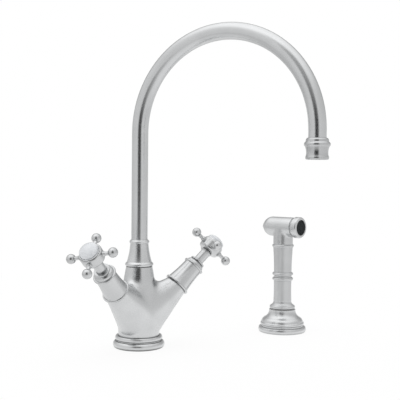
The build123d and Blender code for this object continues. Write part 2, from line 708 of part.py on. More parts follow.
def spout_tube():
    half = SPOUT_REACH / 2
    path = (
        Line((0, 0, TUBE_FOOT_Z), (0, 0, ARCH_BASE_Z))
        + ThreePointArc((0, 0, ARCH_BASE_Z), (half, 0, ARCH_BASE_Z + half), (SPOUT_REACH, 0, ARCH_BASE_Z))
        + Line((SPOUT_REACH, 0, ARCH_BASE_Z), (SPOUT_REACH, 0, TUBE_END_Z))
    )
    start = Plane(origin=(0, 0, TUBE_FOOT_Z), z_dir=(0, 0, 1))
    outside = sweep(start * Circle(TUBE_R), path)
    inside = sweep(start * Circle(TUBE_BORE_R), path)
    return SPOUT_PLACE * (outside - inside)


def at_outlet(shape):
    return SPOUT_PLACE * (Pos(SPOUT_REACH, 0, OUTLET_Z) * shape)


def nozzle():
    ring_z = NOZZLE_RING_H
    return turned(
        (NOZZLE_BORE_R, 0),
        (NOZZLE_LIP_R - 0.8, 0),
        ((NOZZLE_LIP_R, 2.2), (NOZZLE_LIP_R - 0.5, 3.9)),
        ((NOZZLE_WAIST_R, 7.0), (NOZZLE_WAIST_R + 1.3, ring_z - 2.4)),
        ((NOZZLE_RING_R, ring_z), (NOZZLE_SHOULDER_R + 0.9, ring_z + 2.3)),
        (NOZZLE_SHOULDER_R + 0.3, ring_z + 2.9),
        (NOZZLE_SHOULDER_R, NOZZLE_H - 2.2),
        ((NOZZLE_SHOULDER_R - 0.6, NOZZLE_H - 1.0), (TUBE_R + 0.6, NOZZLE_H)),
        (TUBE_R + SEAT, NOZZLE_H),
        (TUBE_R + SEAT, NOZZLE_H - TUBE_IN_NOZZLE),
        (TUBE_BORE_R, NOZZLE_H - TUBE_IN_NOZZLE),
        (TUBE_BORE_R, NOZZLE_BORE_DEPTH),
        (NOZZLE_BORE_R, NOZZLE_BORE_DEPTH),
    )


def aerator_shell():
    outer = NOZZLE_BORE_R - SEAT
    low, high = AERATOR_RECESS, AERATOR_RECESS + AERATOR_H
    lip = pipe(outer, outer - AERATOR_WALL - 1.0, low, low + 0.8)
    return lip + pipe(outer, outer - AERATOR_WALL, low, high)


def aerator_screen():
    radius = NOZZLE_BORE_R - SEAT - AERATOR_WALL - SEAT
    low = AERATOR_RECESS + 0.8
    screen = rod(radius, low, low + SCREEN_H)
    for spot in HexLocations(SCREEN_PITCH / math.sqrt(3), 5, 5):
        if spot.position.length + SCREEN_HOLE_R < radius - 1.2:
            screen -= spot * rod(SCREEN_HOLE_R, low, low + SCREEN_H)
    return screen


def aerator_washer():
    low = AERATOR_RECESS + AERATOR_H
    return pipe(NOZZLE_BORE_R - SEAT, TUBE_BORE_R - 1, low, low + WASHER_H)


# ---- Diverter ----
def diverter_sleeve():
    low = COLUMN_BORE_FLOOR_Z
    outer = COLUMN_BORE_R - SEAT
    return pipe(outer, DIVERTER_BORE_R, low, low + DIVERTER_H) + pipe(outer, DIVERTER_LIP_R, low, low + DIVERTER_LIP_H)


def diverter_piston():
    low = COLUMN_BORE_FLOOR_Z + DIVERTER_LIP_H + FACE
    piston = pipe(DIVERTER_BORE_R - RUN, PISTON_BORE_R, low, low + PISTON_H)
    return piston - groove(DIVERTER_BORE_R, 1.5, 2.0, low + PISTON_H / 2)


# ---- Hand spray ----
def spray_flange():
    step_low = FLANGE_BEAD_H + 2.4
    step_high = step_low + FLANGE_STEP_H
    shoulder_mid = (FLANGE_SHOULDER_R + 2.9, (step_high + FLANGE_SHOULDER_Z) / 2 + 0.3)
    cove_mid = (FLANGE_TOP_R + 2.4, FLANGE_SHOULDER_Z + 3.2)
    flange = turned(
        (SHANK_R, 0),
        (FLANGE_R - 1.5, 0),
        ((FLANGE_R, FLANGE_BEAD_H / 2), (FLANGE_R - 1.1, FLANGE_BEAD_H)),
        (FLANGE_NECK_R, FLANGE_BEAD_H + 0.8),
        *bead(FLANGE_NECK_R, step_low, FLANGE_STEP_H, FLANGE_STEP_R - FLANGE_NECK_R),
        (shoulder_mid, (FLANGE_SHOULDER_R, FLANGE_SHOULDER_Z)),
        (cove_mid, (FLANGE_TOP_R, FLANGE_H)),
        (GUIDE_R + RUN, FLANGE_H),
        (GUIDE_R + RUN, SHANK_DEPTH),
        (SHANK_R, SHANK_DEPTH),
    )
    flange -= gasket_seat(FLANGE_GASKET_IN_R, FLANGE_GASKET_OUT_R)
    hole = drill(FLANGE_SCREW_R + SEAT, polar(GUIDE_R - 1, FLANGE_SCREW_AZIMUTH, FLANGE_SCREW_Z),
                 polar(FLANGE_R, FLANGE_SCREW_AZIMUTH, FLANGE_SCREW_Z))
    return flange - hole


def flange_gasket():
    return pipe(FLANGE_GASKET_OUT_R, FLANGE_GASKET_IN_R, 0, GASKET_H)


def flange_screw():
    inner = GUIDE_R + OPEN_GAP
    start = polar(inner, FLANGE_SCREW_AZIMUTH, FLANGE_SCREW_Z)
    end = polar(inner + FLANGE_SCREW_L, FLANGE_SCREW_AZIMUTH, FLANGE_SCREW_Z)
    socket_plane = Plane(origin=end, z_dir=start - end)
    return drill(FLANGE_SCREW_R, start, end) - socket_plane * extrude(RegularPolygon(1.1, 6), 1.6)


def spray_guide():
    lip_low = FLANGE_H + FACE
    sleeve = pipe(GUIDE_R, PLUG_R + RUN, SHANK_DEPTH + 1, lip_low + GUIDE_LIP_H)
    return sleeve + pipe(GUIDE_LIP_R, PLUG_R + RUN, lip_low, lip_low + GUIDE_LIP_H)


def spray_grip():
    """Turned grip: plug, foot ring, lower shaft, twin beads, flared upper shaft and top bead."""
    foot = GRIP_Z
    ring_root = GRIP_RING_R - 1.6
    beads = foot + GRIP_BEADS_AT
    second = beads + GRIP_BEAD_PITCH
    top_bead = GRIP_TOP_Z - GRIP_TOP_BEAD_H
    shaft_r = GRIP_LOW_R + 0.15
    root_top = foot + GRIP_RING_H + 6.5
    seal_seat = CONNECTOR_TOP_Z + CONNECTOR_SEAL_H
    grip = turned(
        (0, PLUG_FOOT_Z),
        (PLUG_R, PLUG_FOOT_Z),
        (PLUG_R, foot),
        (ring_root, foot),
        ((GRIP_RING_R, foot + GRIP_RING_H / 2), (ring_root, foot + GRIP_RING_H)),
        ((GRIP_LOW_R + 1.3, foot + GRIP_RING_H + 2.2), (GRIP_LOW_R + 0.35, root_top)),
        ((GRIP_LOW_R, (root_top + beads) / 2), (shaft_r, beads)),
        ((GRIP_BEAD_R, beads + GRIP_BEAD_H / 2), (shaft_r, beads + GRIP_BEAD_H)),
        *bead(shaft_r, second, GRIP_BEAD_H, GRIP_BEAD_R - shaft_r),
        ((shaft_r + 0.3, second + 20), (GRIP_HIGH_R, top_bead)),
        ((GRIP_TOP_BEAD_R, top_bead + GRIP_TOP_BEAD_H / 2), (GRIP_HIGH_R, GRIP_TOP_Z)),
        (0, GRIP_TOP_Z),
    )
    grip -= rod(CONNECTOR_R + SEAT, PLUG_FOOT_Z, seal_seat)
    return grip - rod(GRIP_BORE_R, seal_seat, GRIP_TOP_Z)


def hose_connector():
    body = rod(CONNECTOR_R, CONNECTOR_Z, CONNECTOR_TOP_Z)
    body -= rod(HOSE_THREAD_R, CONNECTOR_Z, CONNECTOR_Z + HOSE_THREAD_L)
    return body - rod(HOSE_THREAD_R - 1.7, CONNECTOR_Z + HOSE_THREAD_L, CONNECTOR_TOP_Z)


def connector_seal():
    return pipe(CONNECTOR_R - SEAT, HOSE_THREAD_R - 1.2, CONNECTOR_TOP_Z, CONNECTOR_TOP_Z + CONNECTOR_SEAL_H)


def spray_head():
    """Barrel with a rounded back on a neck of its own radius, bored for the valve and the button."""
    rim_r = BUTTON_R + 2.4
    barrel = turned(
        (0, BUTTON_RIM_AT),
        (rim_r, BUTTON_RIM_AT),
        ((BARREL_R - 2.1, -BARREL_BACK - BARREL_DOME * 0.66), (BARREL_R, -BARREL_BACK)),
        (BARREL_R, BARREL_FRONT - BARREL_GROOVE_W),
        (BARREL_GROOVE_R, BARREL_FRONT - BARREL_GROOVE_W),
        (BARREL_GROOVE_R, BARREL_FRONT),
        (0, BARREL_FRONT),
    )
    neck = SPRAY_PLACE * rod(BARREL_R - 0.02, GRIP_TOP_Z, HEAD_Z)
    chamber_low = BULKHEAD_AT + BULKHEAD_H
    seal_at = BULKHEAD_AT + BULKHEAD_H / 2
    inside = rod(BUTTON_R + RUN, BUTTON_RIM_AT, BUTTON_FLANGE_AT)
    inside += rod(BUTTON_BORE_R, BUTTON_FLANGE_AT - FACE, BULKHEAD_AT)
    inside += rod(ROD_R + RUN, BULKHEAD_AT, chamber_low)
    inside += rod(ROD_R + STEM_SEAL_D + SEAT, seal_at - STEM_SEAL_D * 0.6, seal_at + STEM_SEAL_D * 0.6)
    inside += rod(REAR_CHAMBER_R, chamber_low, SEAT_WALL_AT)
    inside += rod(SEAT_HOLE_R, SEAT_WALL_AT, SEAT_FACE) + rod(FRONT_BORE_R, SEAT_FACE, BARREL_FRONT)
    body = HEAD_PLACE * barrel + neck - HEAD_PLACE * inside
    return body - SPRAY_PLACE * rod(GRIP_BORE_R, GRIP_TOP_Z, HEAD_Z)


def stem_seal():
    outer = ROD_R + STEM_SEAL_D + FACE
    return o_ring(outer, STEM_SEAL_D - FACE, BULKHEAD_AT + BULKHEAD_H / 2)


def spray_nozzle_cap():
    back = BARREL_FRONT + FACE
    front = back + NOZZLE_CAP_L
    ledge = front - SPRAY_FACE_RECESS - SPRAY_FACE_H
    spigot_r = FRONT_BORE_R - SEAT
    inner = spigot_r - 1.5
    return turned(
        (inner, back - 5.5),
        (spigot_r, back - 5.5),
        (spigot_r, back),
        (BARREL_GROOVE_R, back),
        ((NOZZLE_CAP_R - 0.5, back + 0.8), (NOZZLE_CAP_R, back + 2.8)),
        (NOZZLE_CAP_R, front - 3.0),
        ((NOZZLE_CAP_R - 0.4, front - 1.1), (NOZZLE_CAP_R - 1.6, front)),
        (SPRAY_FACE_R + SEAT, front),
        (SPRAY_FACE_R + SEAT, ledge),
        (inner, ledge),
    )


def spray_face():
    front = BARREL_FRONT + FACE + NOZZLE_CAP_L - SPRAY_FACE_RECESS
    low = front - SPRAY_FACE_H
    face = rod(SPRAY_FACE_R, low, front)
    for radius in SPRAY_HOLE_RING_R:
        count = round(2 * math.pi * radius / SPRAY_HOLE_PITCH)
        for k in range(count):
            spot = polar(radius, 360 * k / count)
            face -= Pos(spot.X, spot.Y, 0) * rod(SPRAY_HOLE_R, low, front)
    return face


def spray_button():
    tip = BUTTON_RIM_AT - BUTTON_PROUD
    return turned(
        (0, tip),
        (BUTTON_R - 1.2, tip),
        ((BUTTON_R - 0.3, tip + 0.4), (BUTTON_R, tip + 1.4)),
        (BUTTON_R, BUTTON_FLANGE_AT),
        (BUTTON_BORE_R - OPEN_GAP, BUTTON_FLANGE_AT),
        (BUTTON_BORE_R - OPEN_GAP, BUTTON_FLANGE_END),
        (0, BUTTON_FLANGE_END),
    )


def spray_valve():
    """Rod from the button to the valve disc in front of its seat."""
    disc_low = SEAT_FACE + FACE + VALVE_SEAL_H
    return rod(ROD_R, BUTTON_FLANGE_END, disc_low) + rod(VALVE_DISC_R, disc_low, disc_low + VALVE_DISC_H)


def valve_seal():
    return pipe(VALVE_DISC_R, ROD_R + SEAT, SEAT_FACE + FACE, SEAT_FACE + FACE + VALVE_SEAL_H)


def button_spring():
    """Coil spring round the rod, from the bulkhead to the button's flange, as one wire."""
    low = BUTTON_FLANGE_END + FACE + SPRING_WIRE_R
    high = BULKHEAD_AT - FACE - SPRING_WIRE_R
    coil = Helix(pitch=(high - low) / SPRING_TURNS, height=high - low, radius=SPRING_R)
    wire = Plane(origin=coil @ 0, z_dir=coil % 0) * Circle(SPRING_WIRE_R)
    return Pos(0, 0, low) * sweep(wire, path=coil, is_frenet=True)


# ---- Every piece in its place ----
pieces = {
    "base_ring": base_ring(),
    "deck_gasket": deck_gasket(),
    "body_casting": body_casting(),
    "port_plate": port_plate(),
    "swivel_bush": swivel_bush(),
    "spout_lock_screw": lock_screw(),
    "diverter_sleeve": diverter_sleeve(),
    "diverter_piston": diverter_piston(),
    "spout_spigot": spout_spigot(),
    "spout_seals": spout_seals(),
    "spout_collar": spout_collar(),
    "spout_tube": spout_tube(),
    "nozzle": at_outlet(nozzle()),
    "aerator_shell": at_outlet(aerator_shell()),
    "aerator_screen": at_outlet(aerator_screen()),
    "aerator_washer": at_outlet(aerator_washer()),
}
for name, side in SIDES.items():
    valve_pieces = {
        "bonnet": bonnet(),
        "valve_body": valve_body(),
        "seat_seal": seat_seal(),
        "fixed_disc": fixed_disc(),
        "moving_disc": moving_disc(),
        "spindle": spindle(),
        "spindle_seals": spindle_seals(),
        "spindle_clip": spindle_clip(),
        "handle": cross_handle(HOT_TURN if side < 0 else COLD_TURN),
        "handle_screw": handle_screw(),
        "button_ring": button_ring(),
        "porcelain": porcelain(),
    }
    for piece, shape in valve_pieces.items():
        pieces[f"{piece}_{name}"] = arm_place(side) * shape
for piece, shape in {
    "spray_flange": spray_flange(),
    "flange_gasket": flange_gasket(),
    "flange_screw": flange_screw(),
    "spray_guide": spray_guide(),
    "spray_grip": spray_grip(),
    "hose_connector": hose_connector(),
    "connector_seal": connector_seal(),
}.items():
    pieces[piece] = SPRAY_PLACE * shape
pieces["spray_head"] = spray_head()
for piece, shape in {
    "stem_seal": stem_seal(),
    "spray_nozzle_cap": spray_nozzle_cap(),
    "spray_face": spray_face(),
    "spray_button": spray_button(),
    "spray_valve": spray_valve(),
    "valve_seal": valve_seal(),
    "button_spring": button_spring(),
}.items():
    pieces[piece] = HEAD_PLACE * shape

os.makedirs("parts", exist_ok=True)
for piece, shape in pieces.items():
    export_step(shape, f"parts/{piece}.step")
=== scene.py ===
"""Looks of a two-handle kitchen mixer with a high swivel spout and a hand spray in its own deck flange.
Metres. The frame is the CAD's: the mixer's foot is at the origin, +Z is up, and the spray stands at +X."""

import math

import bpy
from mathutils import Matrix, Vector


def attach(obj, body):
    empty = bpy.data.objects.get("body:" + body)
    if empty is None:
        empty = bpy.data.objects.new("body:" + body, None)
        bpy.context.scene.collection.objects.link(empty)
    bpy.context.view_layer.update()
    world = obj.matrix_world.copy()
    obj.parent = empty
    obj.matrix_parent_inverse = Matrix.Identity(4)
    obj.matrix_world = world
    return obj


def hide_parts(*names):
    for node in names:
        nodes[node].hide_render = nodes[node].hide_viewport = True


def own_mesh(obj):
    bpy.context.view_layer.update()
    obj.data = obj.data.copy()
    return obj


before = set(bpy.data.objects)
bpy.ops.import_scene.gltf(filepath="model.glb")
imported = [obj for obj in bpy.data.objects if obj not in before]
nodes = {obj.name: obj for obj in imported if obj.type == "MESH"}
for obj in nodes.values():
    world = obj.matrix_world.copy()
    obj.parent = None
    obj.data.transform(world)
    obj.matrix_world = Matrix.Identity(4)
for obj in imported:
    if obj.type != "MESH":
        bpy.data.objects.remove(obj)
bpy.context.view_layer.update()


# ---- Sizes and places, as in the CAD ----
ARM_RISE = math.radians(44.2)
ARM_SPLAY = math.radians(18.2)
ARM_ROOT = Vector((0, 0, 0.0254))
ARM_LENGTH = 0.0696
FOOT_Z = 0.0146
COLUMN_TOP_Z = 0.0994
SPOUT_AZIMUTH = math.radians(-72.8)
SPOUT_REACH = 0.2316
ARCH_BASE_Z = 0.2632
SPRAY_XY = Vector((0.2112, -0.0497, 0))
HEAD_AZIMUTH = math.radians(-84.0)
HEAD_Z = 0.1429
NECK_FOOT_Z = 0.1192
HEAD_BACK = 0.020       # where the spray head's rounded back and its groove start, from the neck's axis
HEAD_GROOVE = 0.018
UP = Vector((0, 0, 1))


def heading(azimuth):
    return Vector((math.cos(azimuth), math.sin(azimuth), 0))


def arm_axis(side):
    """Direction of an arm: -1 is the hot one, 1 the cold one."""
    azimuth = -ARM_SPLAY if side > 0 else math.pi + ARM_SPLAY
    return heading(azimuth) * math.cos(ARM_RISE) + UP * math.sin(ARM_RISE)


OUTLET_XY = heading(SPOUT_AZIMUTH) * SPOUT_REACH
HEAD_WAY = heading(HEAD_AZIMUTH)
head_centre = SPRAY_XY + UP * HEAD_Z
HEAD_AT = SPRAY_XY.dot(HEAD_WAY)
ARM_END = ARM_LENGTH + ARM_ROOT.z * math.sin(ARM_RISE)
# A point and the direction of each axis on which pieces were turned
AXES = {
    "upright": (Vector((0, 0, 0)), UP),
    "hot": (ARM_ROOT, arm_axis(-1)),
    "cold": (ARM_ROOT, arm_axis(1)),
    "outlet": (OUTLET_XY, UP),
    "spray": (SPRAY_XY, UP),
    "head": (head_centre, HEAD_WAY),
}


# ---- Node helpers ----
class Nodes:
    """Short ways of adding and joining shader nodes in one node tree."""

    def __init__(self, tree):
        self.tree = tree

    def add(self, kind, **settings):
        node = self.tree.nodes.new(kind)
        for key, value in settings.items():
            setattr(node, key, value)
        return node

    def plug(self, value, socket):
        if isinstance(value, bpy.types.NodeSocket):
            self.tree.links.new(value, socket)
        elif value is not None:
            socket.default_value = value

    def math(self, operation, a, b=None):
        node = self.add("ShaderNodeMath", operation=operation)
        self.plug(a, node.inputs[0])
        self.plug(b, node.inputs[1])
        return node.outputs[0]

    def vector(self, operation, a, b=None):
        node = self.add("ShaderNodeVectorMath", operation=operation)
        self.plug(a, node.inputs[0])
        self.plug(b, node.inputs[1])
        return node.outputs["Value" if operation in ("DOT_PRODUCT", "LENGTH") else "Vector"]

    def combine(self, x, y, z):
        node = self.add("ShaderNodeCombineXYZ")
        for value, socket in zip((x, y, z), node.inputs):
            self.plug(value, socket)
        return node.outputs[0]

    def noise(self, vector, scale, detail=2.0, roughness=0.5, distortion=0.0):
        node = self.add("ShaderNodeTexNoise")
        self.plug(vector, node.inputs["Vector"])
        node.inputs["Scale"].default_value = scale
        node.inputs["Detail"].default_value = detail
        node.inputs["Roughness"].default_value = roughness
        node.inputs["Distortion"].default_value = distortion
        return node.outputs["Fac"]

    def remap(self, value, low, high, to_low, to_high):
        """Smooth step from to_low to to_high as the value goes from low to high."""
        node = self.add("ShaderNodeMapRange", clamp=True, interpolation_type="SMOOTHSTEP")
        for number, socket in zip((value, low, high, to_low, to_high), node.inputs):
            self.plug(number, socket)
        return node.outputs[0]

    def mix(self, share, a, b):
        """Colour b by the share, and colour a for the rest."""
        node = self.add("ShaderNodeMix", data_type="RGBA")
        self.plug(share, node.inputs[0])
        self.plug(a, node.inputs[6])
        self.plug(b, node.inputs[7])
        return node.outputs[2]

    def pick(self, switch, off, on):
        """Number off where the switch is 0, and on where it is 1."""
        node = self.add("ShaderNodeMix", data_type="FLOAT")
        self.plug(switch, node.inputs[0])
        self.plug(off, node.inputs[2])
        self.plug(on, node.inputs[3])
        return node.outputs[0]

    def blend(self, share, a, b):
        """Shader b by the share, and shader a for the rest."""
        node = self.add("ShaderNodeMixShader")
        for value, socket in zip((share, a, b), node.inputs):
            self.plug(value, socket)
        return node.outputs[0]

    def emission(self, strength):
        node = self.add("ShaderNodeEmission")
        node.inputs["Color"].default_value = (1, 1, 1, 1)
        self.plug(strength, node.inputs["Strength"])
        return node.outputs[0]

    def bump(self, height, strength, distance, normal):
        node = self.add("ShaderNodeBump")
        node.inputs["Strength"].default_value = strength
        node.inputs["Distance"].default_value = distance
        self.plug(height, node.inputs["Height"])
        self.plug(normal, node.inputs["Normal"])
        return node.outputs[0]

    def surface(self, shader):
        out = self.add("ShaderNodeOutputMaterial")
        self.plug(shader, out.inputs["Surface"])


def bare_material(name):
    material = bpy.data.materials.new(name)
    material.use_nodes = True
    material.node_tree.nodes.clear()
    return material, Nodes(material.node_tree)


def new_material(name):
    material, n = bare_material(name)
    shader = n.add("ShaderNodeBsdfPrincipled")
    n.surface(shader.outputs[0])
    return material, n, shader


def opaque(colour, tone=1.0):
    return tuple(tone * value for value in colour) + (1,)


def grey(value):
    return (value, value, value)


def object_point(n):
    return n.add("ShaderNodeTexCoord").outputs["Object"]


def round_axis(n, point, origin, direction):
    """Height along an axis, angle round it in radians, and distance from it."""
    direction = direction.normalized()
    first = direction.orthogonal().normalized()
    second = direction.cross(first)
    local = n.vector("SUBTRACT", point, tuple(origin))
    height = n.vector("DOT_PRODUCT", local, tuple(direction))
    x = n.vector("DOT_PRODUCT", local, tuple(first))
    y = n.vector("DOT_PRODUCT", local, tuple(second))
    angle = n.math("ARCTAN2", y, x)
    distance = n.math("SQRT", n.math("ADD", n.math("MULTIPLY", x, x), n.math("MULTIPLY", y, y)))
    return height, angle, distance


def along_spout(n, point):
    """Height along the bent tube's centre line, and angle round it."""
    half = SPOUT_REACH / 2
    out = n.vector("DOT_PRODUCT", point, tuple(heading(SPOUT_AZIMUTH)))
    side = n.vector("DOT_PRODUCT", point, tuple(heading(SPOUT_AZIMUTH + math.pi / 2)))
    z = n.vector("DOT_PRODUCT", point, tuple(UP))
    over = n.math("SUBTRACT", z, ARCH_BASE_Z)
    from_middle = n.math("SUBTRACT", out, half)
    above = n.math("MAXIMUM", over, 0.0)
    below = n.math("MINIMUM", over, 0.0)
    turn = n.math("ARCTAN2", above, from_middle)
    arc = n.math("MULTIPLY", n.math("SUBTRACT", math.pi, turn), half)
    leg = n.math("MULTIPLY", below, n.math("MULTIPLY", n.math("SIGN", from_middle), -1.0))
    above_squared = n.math("MULTIPLY", above, above)
    middle_squared = n.math("MULTIPLY", from_middle, from_middle)
    reach = n.math("SQRT", n.math("ADD", above_squared, middle_squared))
    lift = n.math("SUBTRACT", reach, half)
    return n.math("ADD", arc, leg), n.math("ARCTAN2", side, lift)


ANGLE_STRETCH = 0.004   # metres of a turned piece's pattern that a radian takes, few enough to make rings
RADIAL_STRETCH = 0.9    # and that a metre away from the axis takes


def turned_point(n, point, place):
    """Point in a space in which a noise becomes rings round the axis that a piece was turned on."""
    if place == "tube":
        height, angle = along_spout(n, point)
        depth = 0.0
    else:
        height, angle, distance = round_axis(n, point, *AXES[place])
        depth = n.math("MULTIPLY", distance, RADIAL_STRETCH)
    return n.combine(height, n.math("MULTIPLY", angle, ANGLE_STRETCH), depth)


EDGE_STARTS = 0.995     # cosine between the rounded and the flat normal where an edge starts
EDGE_IS_FULL = 0.80     # and where it is full
EDGE_SAMPLES = 4
EDGE_RADIUS = 0.00045   # rounding of the plated edges
GLAZE_EDGE = 0.0005     # of the porcelain's
DULL_EDGE = 0.00030     # and of all others


def edge_share(n, radius):
    """1 along outer and inner edges, 0 on open faces, and a normal that rounds them."""
    bevel = n.add("ShaderNodeBevel", samples=EDGE_SAMPLES)
    bevel.inputs["Radius"].default_value = radius
    flat = n.add("ShaderNodeNewGeometry").outputs["Normal"]
    agree = n.vector("DOT_PRODUCT", bevel.outputs[0], flat)
    return n.remap(agree, EDGE_STARTS, EDGE_IS_FULL, 0.0, 1.0), bevel.outputs[0]


NO_EDGE = 1.0           # a distance beyond any casting
# Hollows between two bodies of one casting: how widely they are rounded, and the directions with the
# distances along them where the casting has other edges, which keep their own rounding
HOLLOWS = {
    "arms": (0.013, (
        (UP, FOOT_Z, COLUMN_TOP_Z),
        (arm_axis(-1), -NO_EDGE, ARM_END),
        (arm_axis(1), -NO_EDGE, ARM_END),
    )),
    "neck": (0.006, (
        (UP, NECK_FOOT_Z, NO_EDGE),
        (HEAD_WAY, HEAD_AT - HEAD_BACK, HEAD_AT + HEAD_GROOVE),
    )),
}
HOLLOW_SAMPLES = 16
HOLLOW_ROOM = 0.85      # share of the way to another edge that a hollow's rounding may take up


def soften_hollow(n, point, hollow):
    """Normal that rounds a casting's hollows widely, and less and less towards its other edges."""
    radius, limits = HOLLOWS[hollow]
    for direction, low, high in limits:
        along = n.vector("DOT_PRODUCT", point, tuple(direction))
        for gap in (n.math("SUBTRACT", along, low), n.math("SUBTRACT", high, along)):
            radius = n.math("MINIMUM", n.math("MULTIPLY", gap, HOLLOW_ROOM), radius)
    wide = n.add("ShaderNodeBevel", samples=HOLLOW_SAMPLES)
    n.plug(n.math("MAXIMUM", radius, EDGE_RADIUS), wide.inputs["Radius"])
    return wide.outputs[0]


OPEN_SAMPLES = 8


def open_share(n, distance):
    """1 in the open and lower in grooves and corners."""
    node = n.add("ShaderNodeAmbientOcclusion", samples=OPEN_SAMPLES)
    node.inputs["Distance"].default_value = distance
    return node.outputs["AO"]


# ---- Materials ----
# SCALE is a noise's scale, LEVELS are the values between which a noise or a groove's openness takes effect,
# SHARE is how far it then takes the colour, and BUMP is a strength and a depth in metres.
NICKEL_LIGHT = (0.626, 0.634, 0.640)
NICKEL_DEEP = (0.592, 0.600, 0.606)
NICKEL_WORN = (0.71, 0.712, 0.706)
# colour of the painted shade that darkens the grooves and corners
NICKEL_GROOVE_SHADE = (0.115, 0.118, 0.118)
RING_SCALE = 5200.0     # fine brushing
RING_LEVELS = (0.30, 0.72)
RING_BUMP = (0.04, 0.00004)
BAND_SCALE = 620.0      # its broader bands
BAND_LEVELS = (0.40, 0.66)
BAND_SHARE = 0.22
CLOUD_SCALE = 46.0      # slow change of tone
CLOUD_LEVELS = (0.32, 0.70)
SMUDGE_SCALE = 130.0    # handling marks
SMUDGE_LEVELS = (0.46, 0.72)
PIT_SCALE = 2300.0
PIT_BUMP = (0.05, 0.00002)
GROOVE_REACH = 0.0042   # how far off a wall still makes a groove
GROOVE_LEVELS = (0.30, 0.86)
WORN_SHARE = 0.25
ROUGH_SWING = 0.025     # change of roughness by the brushing, and by the marks
GROOVE_ROUGH = 0.10
EDGE_POLISH = 0.03


def nickel(name, place, tone=1.0, rough=0.24, painted_shade=0.5, hollow=None):
    """Brushed nickel plate: fine rings round the axis it was turned and brushed on, handling marks, edges
    polished by wear, and painted shade that darkens its grooves."""
    material, n, shader = new_material(name)
    point = object_point(n)
    flow = turned_point(n, point, place)
    rings = n.noise(flow, RING_SCALE, detail=3.0, roughness=0.62)
    bands = n.noise(flow, BAND_SCALE)
    cloud = n.noise(point, CLOUD_SCALE, detail=3.0, roughness=0.55)
    smudge = n.noise(point, SMUDGE_SCALE, detail=4.0, roughness=0.6, distortion=0.4)
    pits = n.noise(point, PIT_SCALE)
    edge, soft = edge_share(n, EDGE_RADIUS)
    if hollow:
        soft = soften_hollow(n, point, hollow)
    # painted shade: grooves and corners found by occlusion are darkened towards that colour, and made a
    # little rougher
    groove_shade = n.remap(open_share(n, GROOVE_REACH), *GROOVE_LEVELS, 1.0, 0.0)

    deep = opaque(NICKEL_DEEP, tone)
    base = n.mix(n.remap(cloud, *CLOUD_LEVELS, 0.0, 1.0), deep, opaque(NICKEL_LIGHT, tone))
    base = n.mix(n.math("MULTIPLY", n.remap(bands, *BAND_LEVELS, 0.0, 1.0), BAND_SHARE), base, deep)
    base = n.mix(n.math("MULTIPLY", edge, WORN_SHARE), base, opaque(NICKEL_WORN))
    base = n.mix(n.math("MULTIPLY", groove_shade, painted_shade), base, opaque(NICKEL_GROOVE_SHADE))
    n.plug(base, shader.inputs["Base Color"])
    shader.inputs["Metallic"].default_value = 1.0

    share = n.remap(rings, *RING_LEVELS, rough - ROUGH_SWING, rough + ROUGH_SWING)
    share = n.math("ADD", share, n.remap(smudge, *SMUDGE_LEVELS, 0.0, ROUGH_SWING))
    share = n.math("ADD", share, n.math("MULTIPLY", groove_shade, GROOVE_ROUGH))
    share = n.math("SUBTRACT", share, n.math("MULTIPLY", edge, EDGE_POLISH))
    n.plug(share, shader.inputs["Roughness"])

    normal = n.bump(rings, *RING_BUMP, soft)
    n.plug(n.bump(pits, *PIT_BUMP, normal), shader.inputs["Normal"])
    return material


GLAZE_LIGHT = (0.680, 0.698, 0.720)
GLAZE_DEEP = (0.645, 0.665, 0.690)
GLAZE_SPECK = (0.52, 0.53, 0.54)
# colour of the painted shade in the corner at the glaze's rim
GLAZE_RIM_SHADE = (0.30, 0.33, 0.36)
GLAZE_CLOUD_SCALE = 240.0
GLAZE_CLOUD_LEVELS = (0.35, 0.68)
GLAZE_SPECK_SCALE = 3800.0
GLAZE_SPECK_LEVELS = (0.76, 0.82)
GLAZE_SPECK_SHARE = 0.25
GLAZE_PEEL_SCALE = 900.0
GLAZE_PEEL_BUMP = (0.04, 0.00004)
GLAZE_RIM_REACH = 0.0024
GLAZE_RIM_LEVELS = (0.35, 0.80)
GLAZE_RIM_SHARE = 0.6
GLAZE_ROUGH_LEVELS = (0.3, 0.7)
GLAZE_ROUGH = (0.10, 0.17)      # at those two levels of the cloud
GLAZE_IOR = 1.52
GLAZE_COAT = 0.4
GLAZE_COAT_ROUGH = 0.05


def porcelain(name):
    """White glaze: faint blue cast, a little uneven, with painted shade darkening it at the rim."""
    material, n, shader = new_material(name)
    point = object_point(n)
    cloud = n.noise(point, GLAZE_CLOUD_SCALE)
    peel = n.noise(point, GLAZE_PEEL_SCALE)
    specks = n.noise(point, GLAZE_SPECK_SCALE, detail=1.0)
    soft = edge_share(n, GLAZE_EDGE)[1]
    base = n.mix(n.remap(cloud, *GLAZE_CLOUD_LEVELS, 0.0, 1.0), opaque(GLAZE_DEEP), opaque(GLAZE_LIGHT))
    base = n.mix(n.remap(specks, *GLAZE_SPECK_LEVELS, 0.0, GLAZE_SPECK_SHARE), base, opaque(GLAZE_SPECK))
    # painted shade: the glaze darkens towards that colour where occlusion finds the metal close round it
    rim_shade = n.remap(open_share(n, GLAZE_RIM_REACH), *GLAZE_RIM_LEVELS, GLAZE_RIM_SHARE, 0.0)
    n.plug(n.mix(rim_shade, base, opaque(GLAZE_RIM_SHADE)), shader.inputs["Base Color"])
    n.plug(n.remap(cloud, *GLAZE_ROUGH_LEVELS, *GLAZE_ROUGH), shader.inputs["Roughness"])
    shader.inputs["IOR"].default_value = GLAZE_IOR
    shader.inputs["Coat Weight"].default_value = GLAZE_COAT
    shader.inputs["Coat Roughness"].default_value = GLAZE_COAT_ROUGH
    n.plug(n.bump(peel, *GLAZE_PEEL_BUMP, soft), shader.inputs["Normal"])
    return material


